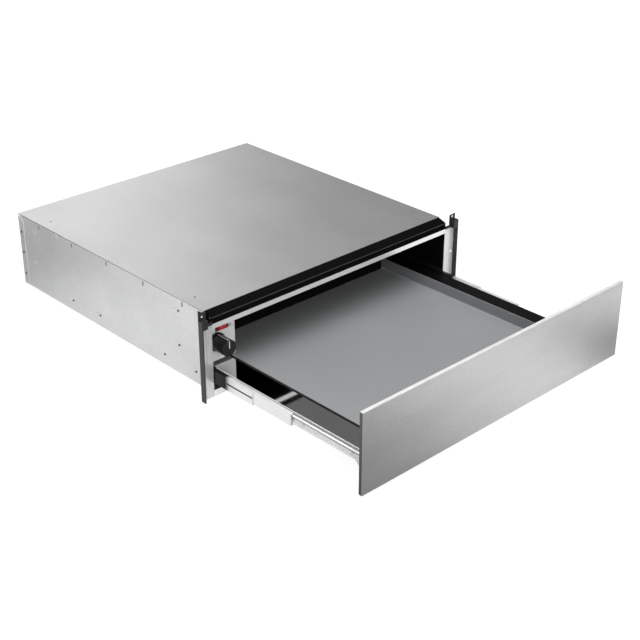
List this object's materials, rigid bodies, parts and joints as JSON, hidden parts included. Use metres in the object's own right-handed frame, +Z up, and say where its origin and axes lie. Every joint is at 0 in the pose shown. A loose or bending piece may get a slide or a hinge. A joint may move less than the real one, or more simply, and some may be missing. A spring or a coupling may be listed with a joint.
{
  "type": "built in warming drawer",
  "caption": "Low built-in warming drawer, pulled open: steel case with polished front frame, knob and rocker, telescopic slides, heated plate with a raised lip, brushed front panel.",
  "frame": {"origin": "centre of the case's underside, the face that rests on the niche floor", "axes": "+X to the right seen from the front, +Y towards the back of the cabinet, +Z up; the drawer is stored pulled out along -Y, and every joint is 0 there"},
  "size_m": [0.595, 0.914, 0.161],
  "materials": {
    "galvanised": "galvanised, satin",
    "light_sheet": "galvanised, light satin",
    "black_enamel": "black, low gloss",
    "mirror_steel": "mirror-polished stainless steel",
    "black_plastic": "matte",
    "dark_trim": "dark grey, satin",
    "grey_paint": "light grey, satin",
    "beige_ceramic": "matte",
    "knob_black": "satin black",
    "light_mark": "printed light line",
    "bezel_red": "dark red",
    "switch_red": "dark red, glossy",
    "fastener_steel": "zinc plated",
    "slide_zinc": "zinc plated, bright",
    "cage_steel": "plain steel",
    "plate_grey": "matte grey",
    "brushed_panel": "fine horizontal brushing",
    "backing_steel": "grey",
    "rubber_pad": "matte",
    "plunger_white": "natural nylon",
    "motor_steel": "grey",
    "fan_aluminium": "plain",
    "heater_steel": "dark oxidised steel"
  },
  "bodies": {
    "case": {"top_cover": "galvanised", "left_side_panel": "light_sheet", "right_side_panel": "light_sheet", "bottom_plate": "galvanised", "back_panel": "light_sheet", "liner_roof": "black_enamel", "liner_left_wall": "black_enamel", "liner_right_wall": "black_enamel", "rear_baffle": "black_enamel", "side_rivets": "fastener_steel", "front_frame": "mirror_steel", "side_trims": "dark_trim", "top_rail": "black_enamel", "corner_blocks": "black_plastic", "control_box": "grey_paint", "thermostat": "beige_ceramic", "switch_body": "bezel_red", "box_screws": "fastener_steel", "outer_slide_left": "slide_zinc", "outer_slide_right": "slide_zinc", "slide_screws": "fastener_steel", "latch_housing": "black_plastic", "fan_motor": "motor_steel", "heating_element": "heater_steel", "element_clips": "fastener_steel", "thermal_cutout": "beige_ceramic", "terminal_box": "black_plastic", "cable_gland": "black_plastic"},
    "drawer": {"inner_slide_left": "slide_zinc", "inner_slide_right": "slide_zinc", "inner_slide_screws": "fastener_steel", "drawer_deck": "mirror_steel", "warming_plate": "plate_grey", "rear_fence": "black_enamel", "side_channel": "black_enamel", "front_panel": "brushed_panel", "panel_backing": "backing_steel", "front_brackets": "slide_zinc", "panel_screws": "fastener_steel", "panel_buffers": "rubber_pad", "latch_striker": "fastener_steel"},
    "knob": {"temperature_knob": "knob_black", "knob_shaft": "fastener_steel", "knob_pointer": "light_mark"},
    "rocker": {"power_rocker": "switch_red"},
    "middle_left": {"middle_slide_left": "slide_zinc"},
    "middle_right": {"middle_slide_right": "slide_zinc"},
    "cage_outer_left": {"outer_cage_left": "cage_steel"},
    "cage_outer_right": {"outer_cage_right": "cage_steel"},
    "cage_inner_left": {"inner_cage_left": "cage_steel"},
    "cage_inner_right": {"inner_cage_right": "cage_steel"},
    "fan": {"fan_wheel": "fan_aluminium", "motor_shaft": "fastener_steel"},
    "plunger": {"latch_plunger": "plunger_white"}
  },
  "joints": [
    {"name": "drawer_slide", "type": "slide", "parent": "case", "child": "drawer", "axis": [0, -1, 0], "range_m": [-0.342, 0.031]},
    {"name": "middle_slide_left_run", "type": "slide", "parent": "case", "child": "middle_left", "axis": [0, -1, 0], "range_m": [-0.17101, 0.01551]},
    {"name": "middle_slide_right_run", "type": "slide", "parent": "case", "child": "middle_right", "axis": [0, -1, 0], "range_m": [-0.17101, 0.01551]},
    {"name": "outer_cage_left_run", "type": "slide", "parent": "case", "child": "cage_outer_left", "axis": [0, -1, 0], "range_m": [-0.08551, 0.00776]},
    {"name": "outer_cage_right_run", "type": "slide", "parent": "case", "child": "cage_outer_right", "axis": [0, -1, 0], "range_m": [-0.08551, 0.00776]},
    {"name": "inner_cage_left_run", "type": "slide", "parent": "case", "child": "cage_inner_left", "axis": [0, -1, 0], "range_m": [-0.25651, 0.02326]},
    {"name": "inner_cage_right_run", "type": "slide", "parent": "case", "child": "cage_inner_right", "axis": [0, -1, 0], "range_m": [-0.25651, 0.02326]},
    {"name": "knob_turn", "type": "hinge", "parent": "case", "child": "knob", "pos_m": [-0.23004, -0.236, 0.062], "axis": [0, 1, 0], "range_deg": [0, 290]},
    {"name": "switch_rock", "type": "hinge", "parent": "case", "child": "rocker", "pos_m": [-0.21784, -0.235, 0.086], "axis": [0, 0, 1], "range_deg": [-16, 0]},
    {"name": "fan_spin", "type": "hinge", "parent": "case", "child": "fan", "pos_m": [0.06, 0.206, 0.068], "axis": [0, 1, 0], "continuous": true},
    {"name": "plunger_push", "type": "slide", "parent": "case", "child": "plunger", "axis": [0, 1, 0], "range_m": [0, 0.004], "stiffness_N_per_m": 800}
  ],
  "couplings": [
    {"joint": "middle_slide_left_run", "follows": "drawer_slide", "ratio": 0.5},
    {"joint": "middle_slide_right_run", "follows": "drawer_slide", "ratio": 0.5},
    {"joint": "outer_cage_left_run", "follows": "drawer_slide", "ratio": 0.25},
    {"joint": "outer_cage_right_run", "follows": "drawer_slide", "ratio": 0.25},
    {"joint": "inner_cage_left_run", "follows": "drawer_slide", "ratio": 0.75},
    {"joint": "inner_cage_right_run", "follows": "drawer_slide", "ratio": 0.75}
  ]
}
